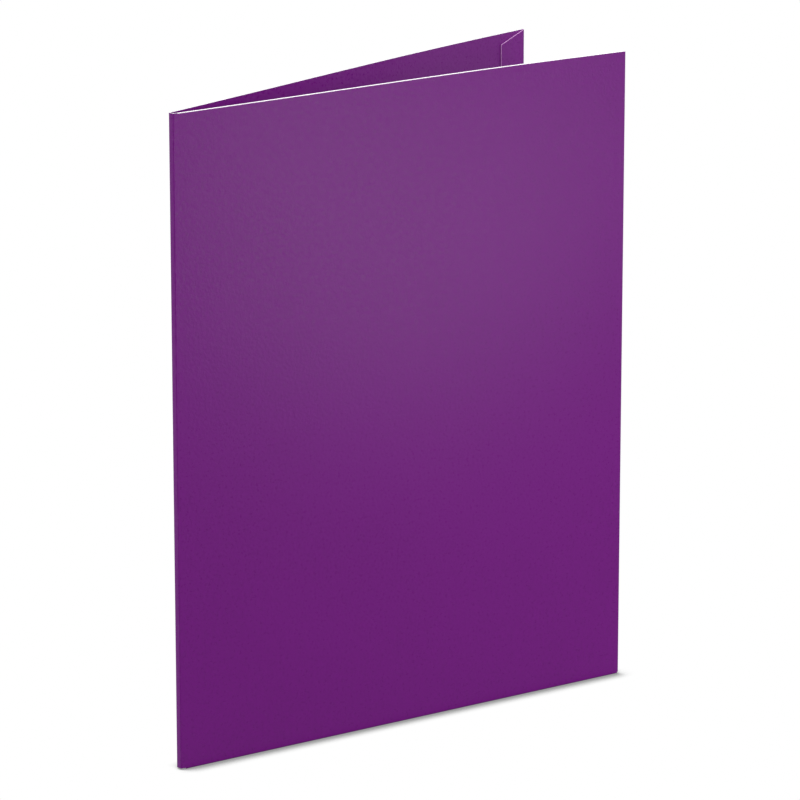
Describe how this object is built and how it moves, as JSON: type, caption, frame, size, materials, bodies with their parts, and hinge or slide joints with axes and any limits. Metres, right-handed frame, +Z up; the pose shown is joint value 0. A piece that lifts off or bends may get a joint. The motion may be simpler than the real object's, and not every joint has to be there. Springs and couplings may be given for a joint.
{
  "type": "pocket folder",
  "caption": "Laminated paperboard presentation folder for letter-size sheets, with scored hinging covers, turned-in fore edges and glued inside pockets.",
  "frame": {"origin": "middle of the folder's foot, on the surface it stands on", "axes": "+Z up, +X from the spine towards the open fore edges, front cover on the -Y side"},
  "size_m": [0.239, 0.0684, 0.2984],
  "materials": {
    "laminated_board": "purple film-laminated board, satin sheen, white core on cut edges",
    "glue": "dry cream paper glue, matt"
  },
  "bodies": {
    "back_half": {"back_cover": "laminated_board", "back_edge_fold": "laminated_board", "back_turn_in": "laminated_board", "back_turn_in_glue": "glue", "back_foot_fold": "laminated_board", "back_pocket": "laminated_board", "back_pocket_glue": "glue"},
    "spine_strip": {"spine": "laminated_board"},
    "front_half": {"front_cover": "laminated_board", "front_edge_fold": "laminated_board", "front_turn_in": "laminated_board", "front_turn_in_glue": "glue", "front_foot_fold": "laminated_board", "front_pocket": "laminated_board", "front_pocket_glue": "glue"}
  },
  "joints": [
    {"name": "back_score", "type": "hinge", "parent": "back_half", "child": "spine_strip", "pos_m": [-0.11909, 0.00115, 0], "axis": [0, 0, -1], "range_deg": [-7.8, 82.2]},
    {"name": "front_score", "type": "hinge", "parent": "spine_strip", "child": "front_half", "pos_m": [-0.11909, -0.00115, 0], "axis": [0, 0, -1], "range_deg": [-7.8, 82.2]}
  ]
}
